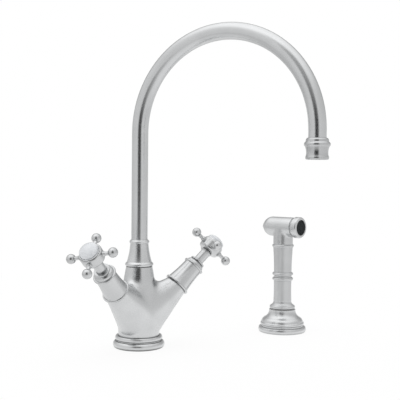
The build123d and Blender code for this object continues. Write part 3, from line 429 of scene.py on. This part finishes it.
DULL_CLOUD_SCALE = 90.0
DULL_CLOUD_LEVELS = (0.32, 0.70)
DULL_GRAIN_LEVELS = (0.35, 0.7)
DULL_GRAIN_SHARE = 0.3
DULL_GRAIN_BUMP = 0.22      # strength alone, since the depth is each finish's own
DULL_WORN_SHARE = 0.4
DULL_GROOVE_REACH = 0.0030
DULL_GROOVE_LEVELS = (0.25, 0.80)
DULL_GROOVE_SHARE = 0.5
DULL_GROOVE_SHADE_TONE = 0.35     # colour of the painted shade in a groove, as a share of the dark colour
DULL_ROUGH_LEVELS = (0.25, 0.75)
DULL_SMOOTHER = 0.06        # roughness taken off and added at those two levels of the grain
DULL_ROUGHER = 0.08


def dull(name, dark, light, rough, scale, depth, metallic=0.0, place=None, worn=None, shine=0.5):
    """Rubber, moulded plastic, ceramic and plain machined metal of the small and inner pieces."""
    material, n, shader = new_material(name)
    point = object_point(n)
    flow = turned_point(n, point, place) if place else point
    grain = n.noise(flow, scale, detail=3.0, roughness=0.6)
    cloud = n.noise(point, DULL_CLOUD_SCALE, detail=3.0)
    edge, soft = edge_share(n, DULL_EDGE)
    base = n.mix(n.remap(cloud, *DULL_CLOUD_LEVELS, 0.0, 1.0), opaque(dark), opaque(light))
    grain_share = n.math("MULTIPLY", n.remap(grain, *DULL_GRAIN_LEVELS, 0.0, 1.0), DULL_GRAIN_SHARE)
    base = n.mix(grain_share, base, opaque(dark))
    if worn:
        base = n.mix(n.math("MULTIPLY", edge, DULL_WORN_SHARE), base, opaque(worn))
    # painted shade: grooves and corners found by occlusion are darkened towards a share of the dark colour
    groove = n.remap(open_share(n, DULL_GROOVE_REACH), *DULL_GROOVE_LEVELS, DULL_GROOVE_SHARE, 0.0)
    n.plug(n.mix(groove, base, opaque(dark, DULL_GROOVE_SHADE_TONE)), shader.inputs["Base Color"])
    shader.inputs["Metallic"].default_value = metallic
    shader.inputs["Specular IOR Level"].default_value = shine
    share = n.remap(grain, *DULL_ROUGH_LEVELS, rough - DULL_SMOOTHER, rough + DULL_ROUGHER)
    n.plug(share, shader.inputs["Roughness"])
    n.plug(n.bump(grain, DULL_GRAIN_BUMP, depth, soft), shader.inputs["Normal"])
    return material


def steel(place):
    return dull(f"steel_{place}", (0.46, 0.46, 0.47), (0.60, 0.60, 0.61), 0.36, 3600.0, 0.00003,
                metallic=1.0, place=place, worn=grey(0.68))


def brass(place):
    return dull(f"brass_{place}", (0.50, 0.35, 0.14), (0.66, 0.48, 0.22), 0.32, 3600.0, 0.00003,
                metallic=1.0, place=place, worn=(0.78, 0.62, 0.34))


RUBBER = dull("rubber_black", grey(0.012), (0.030, 0.030, 0.031), 0.62, 1900.0, 0.00005, worn=grey(0.06))
FACE_BLACK = dull("face_black", (0.004, 0.006, 0.007), (0.010, 0.014, 0.016), 0.30, 1500.0, 0.00002,
                  worn=(0.03, 0.035, 0.04), shine=0.14)
GUIDE_BLACK = dull("guide_black", (0.016, 0.016, 0.017), (0.036, 0.036, 0.038), 0.42, 1400.0, 0.00004,
                   worn=grey(0.08))
GUIDE_GREY = dull("guide_grey", grey(0.22), grey(0.30), 0.40, 1400.0, 0.00004, worn=grey(0.36))
GUIDE_PALE = dull("guide_pale", grey(0.44), grey(0.52), 0.40, 1400.0, 0.00004, worn=grey(0.58))
SCREEN_GREY = dull("screen_grey", grey(0.20), grey(0.33), 0.48, 1500.0, 0.00004, worn=grey(0.42))
DISC_WHITE = dull("disc_white", (0.62, 0.62, 0.58), (0.74, 0.74, 0.70), 0.34, 1700.0, 0.00003)
PORCELAIN = porcelain("porcelain_glaze")
STEEL = {place: steel(place) for place in AXES}
BRASS = {place: brass(place) for place in AXES}
# painted_shade is how far painted shade darkens each finish's grooves
NICKEL = {
    "tube": nickel("nickel_tube", "tube"),
    "upright": nickel("nickel_upright", "upright", tone=1.03, rough=0.27, painted_shade=0.7),
    "casting": nickel("nickel_casting", "upright", rough=0.26, hollow="arms"),
    "base": nickel("nickel_base", "upright", tone=1.02, rough=0.30, painted_shade=0.9),
    "hot": nickel("nickel_hot", "hot", tone=0.94),
    "cold": nickel("nickel_cold", "cold", tone=0.94),
    "ring_hot": nickel("nickel_ring_hot", "hot", tone=1.16, rough=0.30, painted_shade=0.1),
    "ring_cold": nickel("nickel_ring_cold", "cold", tone=1.16, rough=0.30, painted_shade=0.1),
    "outlet": nickel("nickel_outlet", "outlet", tone=0.88, rough=0.20),
    "spray": nickel("nickel_spray", "spray", tone=0.99, rough=0.40),
    "flange": nickel("nickel_flange", "spray", rough=0.28, painted_shade=0.3),
    "head": nickel("nickel_head", "head", tone=0.97, rough=0.26, painted_shade=0.25),
    "neck": nickel("nickel_neck", "head", tone=0.99, rough=0.30, painted_shade=0.25, hollow="neck"),
}

# ---- Finish of each CAD node ----
OUTLET_NODES = ("nozzle", "aerator_shell", "aerator_screen", "aerator_washer")
HEAD_NODES = ("spray_head", "spray_nozzle_cap", "spray_face", "spray_button", "spray_valve", "valve_seal",
              "stem_seal", "button_spring")
SPRAY_STARTS = ("spray_", "flange_", "hose_", "connector_")
BRASS_STARTS = ("port_plate", "valve_body", "spindle_hot", "spindle_cold", "spout_spigot", "hose_connector",
                "spray_valve")
STEEL_STARTS = ("spindle_clip", "handle_screw", "spout_lock_screw", "flange_screw", "button_spring")
OWN_FINISH = {
    "spout_tube": NICKEL["tube"],
    "body_casting": NICKEL["casting"],
    "base_ring": NICKEL["base"],
    "spray_flange": NICKEL["flange"],
    "spray_head": NICKEL["neck"],
    "spray_face": FACE_BLACK,
    "spray_guide": GUIDE_PALE,
    "swivel_bush": GUIDE_GREY,
    "diverter_sleeve": GUIDE_BLACK,
    "diverter_piston": GUIDE_BLACK,
    "aerator_screen": SCREEN_GREY,
}


def place_of(name):
    """Axis on which a node was turned."""
    if name.endswith("_hot"):
        return "hot"
    if name.endswith("_cold"):
        return "cold"
    if name in OUTLET_NODES:
        return "outlet"
    if name in HEAD_NODES:
        return "head"
    if name.startswith(SPRAY_STARTS):
        return "spray"
    return "upright"


def finish_of(name):
    place = place_of(name)
    if name in OWN_FINISH:
        return OWN_FINISH[name]
    if name.startswith("button_ring"):
        return NICKEL["ring_" + place]
    if "porcelain" in name:
        return PORCELAIN
    if "disc" in name:
        return DISC_WHITE
    if "gasket" in name or "seal" in name or "washer" in name:
        return RUBBER
    if name.startswith(BRASS_STARTS):
        return BRASS[place]
    if name.startswith(STEEL_STARTS):
        return STEEL[place]
    return NICKEL[place]


for name, node in nodes.items():
    for material_slot in node.material_slots:
        material_slot.material = finish_of(name)


def plain_mesh(name, points, faces):
    mesh = bpy.data.meshes.new(name)
    mesh.from_pydata([tuple(p) for p in points], [], faces)
    obj = bpy.data.objects.new(name, mesh)
    bpy.context.scene.collection.objects.link(obj)
    return obj


# ---- Spring under the spray's button, wound in one fixed shape ----
SPRING_FROM = -0.02295  # middles of its first and last wire, along the head from the neck's axis
SPRING_TO = -0.01355
SPRING_R = 0.0046
WIRE_R = 0.0005
TURNS = 4
STEPS_PER_TURN = 28
WIRE_SIDES = 10


def wound_wire(name, centre, way):
    """Mesh tube wound round a line, with its ends closed."""
    steps = TURNS * STEPS_PER_TURN
    first = way.orthogonal().normalized()
    second = way.cross(first)
    points = []
    faces = []
    for step in range(steps + 1):
        share = step / steps
        turn = 2 * math.pi * TURNS * share
        radial = first * math.cos(turn) + second * math.sin(turn)
        middle = centre + way * (SPRING_FROM + (SPRING_TO - SPRING_FROM) * share) + radial * SPRING_R
        for side in range(WIRE_SIDES):
            angle = 2 * math.pi * side / WIRE_SIDES
            points.append(middle + radial * (WIRE_R * math.cos(angle)) + way * (WIRE_R * math.sin(angle)))
    for step in range(steps):
        for side in range(WIRE_SIDES):
            a = step * WIRE_SIDES + side
            b = step * WIRE_SIDES + (side + 1) % WIRE_SIDES
            faces.append((a, b, b + WIRE_SIDES, a + WIRE_SIDES))
    faces.append(tuple(reversed(range(WIRE_SIDES))))
    faces.append(tuple(steps * WIRE_SIDES + side for side in range(WIRE_SIDES)))
    return plain_mesh(name, points, faces)


spring = wound_wire("button_coil", head_centre, HEAD_WAY)
spring.data.polygons.foreach_set("use_smooth", [True] * len(spring.data.polygons))
spring.data.materials.append(STEEL["head"])
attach(spring, "hand_spray")
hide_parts("button_spring")
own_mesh(spring)


# ---- Camera, at the photograph's angle ----
CAMERA_XY = Vector((-0.6287, -0.7813, 0))
CAMERA_HEIGHT = 0.216
LOOK_AZIMUTH = math.radians(46.9)
LOOK_DOWN = math.radians(1.98)
ROLL = math.radians(0.54)
FOCAL_PX = 813.0
IMAGE_PX = 400.0
OFF_CENTRE_PX = 0.5
SENSOR_MM = 36.0
TOWARD = -heading(LOOK_AZIMUTH)                     # level directions: from the object to the camera,
RIGHTWARD = heading(LOOK_AZIMUTH - math.pi / 2)     # and to the picture's right

look = heading(LOOK_AZIMUTH) * math.cos(LOOK_DOWN) - UP * math.sin(LOOK_DOWN)
right = look.cross(UP).normalized()
above = right.cross(look)
camera_data = bpy.data.cameras.new("camera")
camera = bpy.data.objects.new("camera", camera_data)
bpy.context.scene.collection.objects.link(camera)
place_matrix = Matrix.Translation(CAMERA_XY + UP * CAMERA_HEIGHT)
aim_matrix = Matrix((right, above, -look)).transposed().to_4x4()
camera.matrix_world = place_matrix @ aim_matrix @ Matrix.Rotation(ROLL, 4, "Z")
camera_data.sensor_width = SENSOR_MM
camera_data.lens = FOCAL_PX / IMAGE_PX * SENSOR_MM
camera_data.shift_x = -OFF_CENTRE_PX / IMAGE_PX
camera_data.shift_y = OFF_CENTRE_PX / IMAGE_PX
camera_data.clip_start = 0.01
camera_data.clip_end = 50.0
bpy.context.scene.camera = camera


# ---- Studio: pale floor, white room, a large soft light above, and a dark flag round the camera ----
FLOOR_COLOUR = grey(0.88)
FLOOR_FRONT = 0.42      # the floor ends this far in front of the mixer, beyond the picture's lower edge
FLOOR_REACH = 4.0
FLOOR_GLOW = 0.90       # share of plain white in the floor near the object, as the camera and metal see it
GLOW_FROM = 0.25        # distances between which that share rises to 1
GLOW_TO = 0.80
FLOOR_POOL = 1.05       # strength of that white in the metal under the object
FLOOR_FAR = 0.80        # and far away from it
POOL_FROM = 0.10
POOL_TO = 0.60
POOL_MIDDLE = (0.10, -0.08, 0)
FLOOR_LEFT = 0.92       # what both strengths are multiplied by on the left
FLOOR_RIGHT = 1.05      # and on the right
LEFT_AT = -0.60
RIGHT_AT = 0.30


def seen_directly(n):
    """1 for rays from the camera and for what metal and glass show."""
    path = n.add("ShaderNodeLightPath")
    either = n.math("MAXIMUM", path.outputs["Is Camera Ray"], path.outputs["Is Glossy Ray"])
    return n.math("MAXIMUM", either, path.outputs["Is Transmission Ray"])


def floor_material():
    material, n = bare_material("studio_floor")
    diffuse = n.add("ShaderNodeBsdfDiffuse")
    diffuse.inputs["Color"].default_value = opaque(FLOOR_COLOUR)
    aside = n.vector("DOT_PRODUCT", object_point(n), tuple(RIGHTWARD))
    away = n.vector("LENGTH", n.vector("SUBTRACT", object_point(n), POOL_MIDDLE))
    in_metal = n.math("MULTIPLY", n.remap(away, POOL_FROM, POOL_TO, FLOOR_POOL, FLOOR_FAR),
                      n.remap(aside, LEFT_AT, RIGHT_AT, FLOOR_LEFT, FLOOR_RIGHT))
    path = n.add("ShaderNodeLightPath")
    white = n.emission(n.pick(path.outputs["Is Camera Ray"], in_metal, 1.0))
    share = n.math("MULTIPLY", seen_directly(n), n.remap(away, GLOW_FROM, GLOW_TO, FLOOR_GLOW, 1.0))
    n.surface(n.blend(share, diffuse.outputs[0], white))
    return material


corners = [TOWARD * ahead + RIGHTWARD * aside for ahead, aside in (
    (FLOOR_FRONT, -FLOOR_REACH), (FLOOR_FRONT, FLOOR_REACH),
    (-FLOOR_REACH, FLOOR_REACH), (-FLOOR_REACH, -FLOOR_REACH))]
floor = plain_mesh("floor", corners, [(0, 1, 2, 3)])
floor.data.materials.append(floor_material())

ROOM_DIFFUSE = 0.85     # the room as light on dull faces
ROOM_LOW = 0.83         # the room in the metal, near the horizon
ROOM_HIGH = 1.40        # and overhead
LOW_SINE = 0.42         # sines of the elevations between which it changes
HIGH_SINE = 0.98
ROOM_LEAN = 0.30        # how much brighter it is up on the left than up on the right
ROOM_FRONT = 0.06       # how much brighter it is on the camera's side than behind
BAND_DARK = 0.42        # how much darker the room is above the backdrop
BAND_RISE = (0.04, 0.24)    # sines of the elevations between which that band starts
BAND_FALL = (0.50, 0.80)    # and ends
BAND_BEHIND = (0.40, 0.85)  # and how far behind the object it starts and is full, as cosines


def room_in_metal(n):
    """Strength of the room in a mirror: brighter overhead and on the left, darker above the backdrop."""
    way = n.add("ShaderNodeTexCoord").outputs["Generated"]
    rise = n.vector("DOT_PRODUCT", way, tuple(UP))
    aside = n.vector("DOT_PRODUCT", way, tuple(-RIGHTWARD))
    behind = n.vector("DOT_PRODUCT", way, tuple(-TOWARD))
    strength = n.remap(rise, LOW_SINE, HIGH_SINE, ROOM_LOW, ROOM_HIGH)
    lean = n.math("MULTIPLY", n.math("MULTIPLY", aside, n.math("MAXIMUM", rise, 0.0)), ROOM_LEAN)
    strength = n.math("SUBTRACT", n.math("ADD", strength, lean), n.math("MULTIPLY", behind, ROOM_FRONT))
    band = n.math("MULTIPLY", n.remap(rise, *BAND_RISE, 0.0, 1.0), n.remap(rise, *BAND_FALL, 1.0, 0.0))
    band = n.math("MULTIPLY", band, n.remap(behind, *BAND_BEHIND, 0.0, BAND_DARK))
    return n.math("MULTIPLY", strength, n.math("SUBTRACT", 1.0, band))


world = bpy.data.worlds.new("studio")
bpy.context.scene.world = world
world.use_nodes = True
world.node_tree.nodes.clear()
world_nodes = Nodes(world.node_tree)
path = world_nodes.add("ShaderNodeLightPath")
mirrored = world_nodes.math("MAXIMUM", path.outputs["Is Glossy Ray"], path.outputs["Is Transmission Ray"])
plain_room = world_nodes.remap(path.outputs["Is Camera Ray"], 0.0, 1.0, ROOM_DIFFUSE, 1.0)
room = world_nodes.add("ShaderNodeBackground")
room.inputs["Color"].default_value = (1, 1, 1, 1)
room_strength = world_nodes.pick(mirrored, plain_room, room_in_metal(world_nodes))
world_nodes.plug(room_strength, room.inputs["Strength"])
world_out = world_nodes.add("ShaderNodeOutputWorld")
world_nodes.plug(room.outputs[0], world_out.inputs["Surface"])

LAMP_PLACE = Vector((0.05, 0.1, 1.5))
LAMP_AIM = Vector((0.05, -0.05, 0.1))
LAMP_SIZE = (1.6, 1.2)
LAMP_POWER = 9.0

lamp_data = bpy.data.lights.new("light_above", "AREA")
lamp_data.shape = "RECTANGLE"
lamp_data.size, lamp_data.size_y = LAMP_SIZE
lamp_data.energy = LAMP_POWER
lamp = bpy.data.objects.new("light_above", lamp_data)
lamp.visible_glossy = False
bpy.context.scene.collection.objects.link(lamp)
lamp_way = (LAMP_AIM - LAMP_PLACE).normalized()
lamp.matrix_world = Matrix.Translation(LAMP_PLACE) @ lamp_way.to_track_quat("-Z", "Y").to_matrix().to_4x4()

FLAG_AWAY = 0.98        # the flag hangs at about the camera's distance
FLAG_HALF = 0.385       # half its width, to the middle of the fade of its sides
FLAG_ASIDE = -0.155     # its middle, to the left of the camera
FLAG_FADE = 0.08        # half the width of that fade
FLAG_BOTTOM = -0.6
FLAG_TOP = 1.80
FLAG_GLOW = 0.02        # strength of the cloth itself
FLAG_UNDER = 0.35       # its density under the deck's level
UNDER_RISE = (-0.25, 0.25)      # heights between which it gets full from there
FIRST_FADE = (0.45, 0.35, 0.75)     # density lost above the camera, and between which heights
SECOND_FADE = (0.55, 1.10, FLAG_TOP)
FLAG_STEPS = 40


def smooth(value, low, high):
    share = min(max((value - low) / (high - low), 0.0), 1.0)
    return share * share * (3 - 2 * share)


def flag_cover(z):
    """How dense the flag is at a height: thin below the deck's level, and fading out above the camera."""
    cover = FLAG_UNDER + (1 - FLAG_UNDER) * smooth(z, *UNDER_RISE)
    for lost, low, high in (FIRST_FADE, SECOND_FADE):
        cover -= lost * smooth(z, low, high)
    return cover


def flag_material():
    """Dark cloth, as dense as its mesh says at each point."""
    material, n = bare_material("studio_flag")
    cover = n.add("ShaderNodeVertexColor", layer_name="cover").outputs["Color"]
    clear = n.add("ShaderNodeBsdfTransparent").outputs[0]
    n.surface(n.blend(cover, clear, n.emission(FLAG_GLOW)))
    return material


def flag():
    """Upright dark flag round the camera, which only the metal sees."""
    points = []
    cover = []
    half = FLAG_HALF + FLAG_FADE
    middle = CAMERA_XY.dot(RIGHTWARD) + FLAG_ASIDE
    for row in range(FLAG_STEPS + 1):
        z = FLAG_BOTTOM + (FLAG_TOP - FLAG_BOTTOM) * row / FLAG_STEPS
        for column in range(FLAG_STEPS + 1):
            aside = -half + 2 * half * column / FLAG_STEPS
            points.append(TOWARD * FLAG_AWAY + RIGHTWARD * (middle + aside) + UP * z)
            cover.append(flag_cover(z) * (1 - smooth(abs(aside), FLAG_HALF - FLAG_FADE, half)))
    faces = []
    for row in range(FLAG_STEPS):
        for column in range(FLAG_STEPS):
            a = row * (FLAG_STEPS + 1) + column
            faces.append((a, a + 1, a + FLAG_STEPS + 2, a + FLAG_STEPS + 1))
    obj = plain_mesh("flag", points, faces)
    layer = obj.data.color_attributes.new("cover", "FLOAT_COLOR", "POINT")
    for spot, value in enumerate(cover):
        layer.data[spot].color = opaque(grey(value))
    obj.data.materials.append(flag_material())
    obj.visible_camera = False
    obj.visible_diffuse = False
    obj.visible_shadow = False
    obj.visible_transmission = False


flag()

scene = bpy.context.scene
scene.view_settings.view_transform = "Standard"
